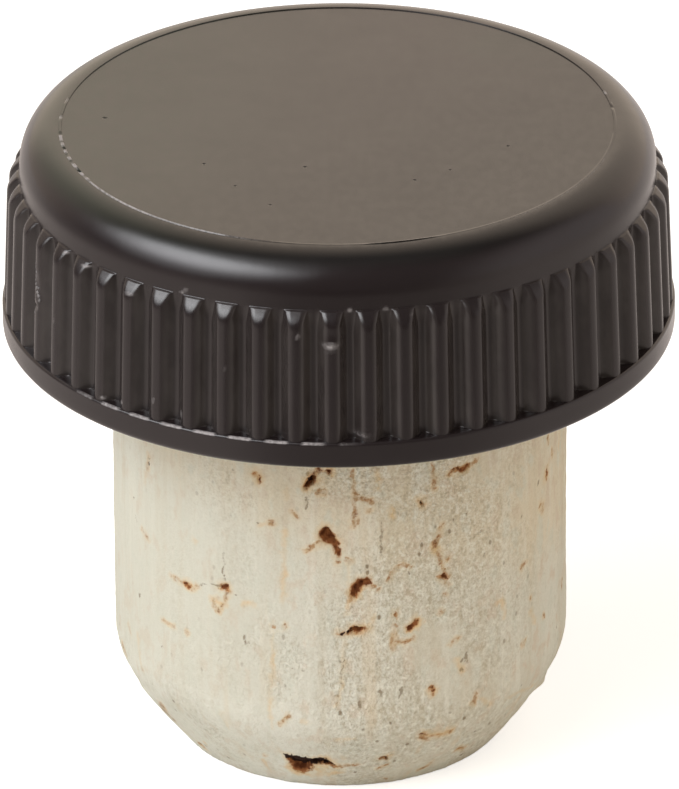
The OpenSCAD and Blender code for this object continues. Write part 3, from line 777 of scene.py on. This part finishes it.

# The pores have a rusty rim and a dark red-brown hollow, with painted black shadow under the edge of the
# deepest
rim = bark.ramp(bark.noise(2500, 2), 0.35, 0.65, 0.5, 0.95)
bark.paint(bark.times(within("pore", ragged, 0.0, 0.11), rim), (0.52, 0.27, 0.11))
hollow = bark.blend(bark.ramp(bark.noise(2600, 2), 0.38, 0.62), (0.14, 0.042, 0.013), (0.34, 0.13, 0.045))
bark.paint(within("pore", ragged, -0.035, 0.015), hollow)
# Painted shadow under the overhanging upper edges of the deepest pores
bark.paint(within("black", ragged, -0.01, 0.03), (0.035, 0.014, 0.009))

bark.emboss(bark.noise(900, 3, 0.6, (1, 1, 0.5)), 0.35, 0.00012)
bark.emboss(bark.times(crumbs, patch), 1.0, -0.00018)
bark.emboss(fine, 0.7, 0.00005)
bark.emboss(dot, 0.5, -0.00006)
bark.cover(cork, bark.ramp(crumbs, 0.3, 0.7, 0.82, 0.95), 0.2)
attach(cork, "root")
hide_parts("cork")

# ---------------------------------------------------------------------------------------------
# The studio: a pale floor, a large soft box high on the front left, and warm pale walls behind,
# seen in the gloss of the cap. The camera sees the ground white, with the stopper's own shadow.
# ---------------------------------------------------------------------------------------------
box_azimuth, box_elevation, box_distance = radians(-60), radians(39.5), 0.6
box_w, box_h = 0.90, 0.58
box_radiance = 5.6
box_data = bpy.data.lights.new("soft_box", "AREA")
box_data.shape = "RECTANGLE"
box_data.size, box_data.size_y = box_w, box_h
box_data.energy = box_radiance * pi * box_w * box_h
box_data.color = (1, 1.02, 1.05)
soft_box = bpy.data.objects.new("soft_box", box_data)
bpy.context.scene.collection.objects.link(soft_box)
reach = Vector((sin(box_azimuth) * cos(box_elevation), -cos(box_azimuth) * cos(box_elevation),
                sin(box_elevation))) * box_distance
soft_box.location = aim + reach
soft_box.rotation_euler = (-reach).to_track_quat("-Z", "Y").to_euler()
soft_box.visible_camera = False

# The soft box is brightest above its middle, and fades out to its edges
brightest_y = 0.62
cloth = Nodes(box_data)
spot = cloth.node("SeparateXYZ", Vector=cloth.node("NewGeometry").outputs["Parametric"]).outputs
wide = cloth.node("Math", {"operation": "MULTIPLY_ADD"}, i0=spot["X"], i1=2.0, i2=-1.0).outputs[0]
tall = cloth.maths("MAXIMUM", *[cloth.node("MapRange", i0=spot["Y"], i1=brightest_y, i2=edge).outputs[0]
                                for edge in (1.0, 0.0)])
off_middle = cloth.length(cloth.node("CombineXYZ", X=wide, Y=tall).outputs[0])
fade = cloth.ramp(off_middle, 1, 0.15)
cloth.node("OutputLight", Surface=cloth.node("Emission", Strength=fade).outputs[0])

# The walls are white to the camera and an even fill for plain surfaces. Gloss sees them dark
# towards the camera, half bright on the right, and pale and warm behind
world = bpy.data.worlds.new("studio")
bpy.context.scene.world = world
walls = Nodes(world)
heading = walls.node("TexCoord").outputs["Generated"]
toward = walls.node("SeparateXYZ", Vector=heading).outputs


def lit(colour, glow, light):
    """A colour of the walls with light added to it, as far as glow says."""
    return walls.blend(glow, colour, walls.blend(1.0, colour, light, "ADD"))


behind = walls.times(walls.ramp(toward["Y"], 0.05, 0.7), walls.ramp(toward["X"], -0.6, -0.2, 0.6, 1.0))
behind = walls.blend(behind, (0.01, 0.01, 0.01), (1.05, 0.87, 0.72))
beside = walls.blend(walls.ramp(toward["X"], 0.5, 0.95), (0, 0, 0), (0.62, 0.56, 0.55))
mirrored = walls.blend(1.0, behind, beside, "LIGHTEN")
mirrored = lit(mirrored, walls.ramp(toward["Y"], 0.8, 0.92), (0.32, 0.27, 0.20))
mirrored = lit(mirrored, walls.ramp(toward["Z"], 0.85, 1.0), (0.15, 0.14, 0.13))
mirrored = lit(mirrored, 1.0, (0.075, 0.07, 0.07))

# Light spills past the edges of the soft box on to the wall about it
to_box = walls.node("VectorMath", {"operation": "DOT_PRODUCT"}, i0=heading, i1=reach.normalized())
mirrored = lit(mirrored, walls.ramp(to_box.outputs["Value"], 0.75, 0.94), (1.28, 1.3, 1.33))
even = walls.blend(walls.ramp(toward["X"], -0.6, 1.0), (0.44, 0.405, 0.36), (0.86, 0.76, 0.64))
unseen = walls.blend(walls.rays("Glossy", "Transmission"), even, mirrored)
ground = walls.blend(walls.rays("Camera"), unseen, (1, 1, 1))
walls.node("OutputWorld", Surface=walls.node("Background", Color=ground).outputs[0])

# The floor: a pale sheet that the camera sees lit up to white, and gloss sees dim in front
corners = [(-4, -4, 0), (4, -4, 0), (4, 4, 0), (-4, 4, 0)]
floor_mesh = bpy.data.meshes.new("floor")
floor_mesh.from_pydata(corners, [], [(0, 1, 2, 3)])
floor = bpy.data.objects.new("floor", floor_mesh)
bpy.context.scene.collection.objects.link(floor)
paper = Finish("pale_floor")
gloss = paper.rays("Glossy", "Transmission")
distance = paper.length(paper.place)
facing = paper.maths("DIVIDE", paper.y, distance)
right_half = paper.ramp(paper.x, -0.012, 0.012)
level = paper.ramp(right_half, 0, 1, paper.ramp(distance, 0.03, 0.19, 0.78, 0.28), 0.62)
level = paper.ramp(facing, 0.2, 0.9, level, paper.ramp(right_half, 0, 1, 0.8, 0.95))
in_front = paper.ramp(distance, 0.04, 0.14, 0.34, 0.04)
level = paper.ramp(facing, -1.0, paper.ramp(right_half, 0, 1, -0.8, -0.4), in_front, level)
skin = paper.skin.inputs
paper.put(skin["Base Color"], paper.blend(gloss, (0.8, 0.8, 0.79), (0, 0, 0)))
paper.put(skin["Emission Color"], paper.blend(gloss, (1, 1, 1), (1.1, 0.97, 0.9)))
paper.put(skin["Emission Strength"], paper.ramp(gloss, 0, 1, paper.times(paper.rays("Camera"), 0.6), level))
skin["Roughness"].default_value = 0.9
skin["Specular IOR Level"].default_value = 0.0
floor.data.materials.append(paper.material)
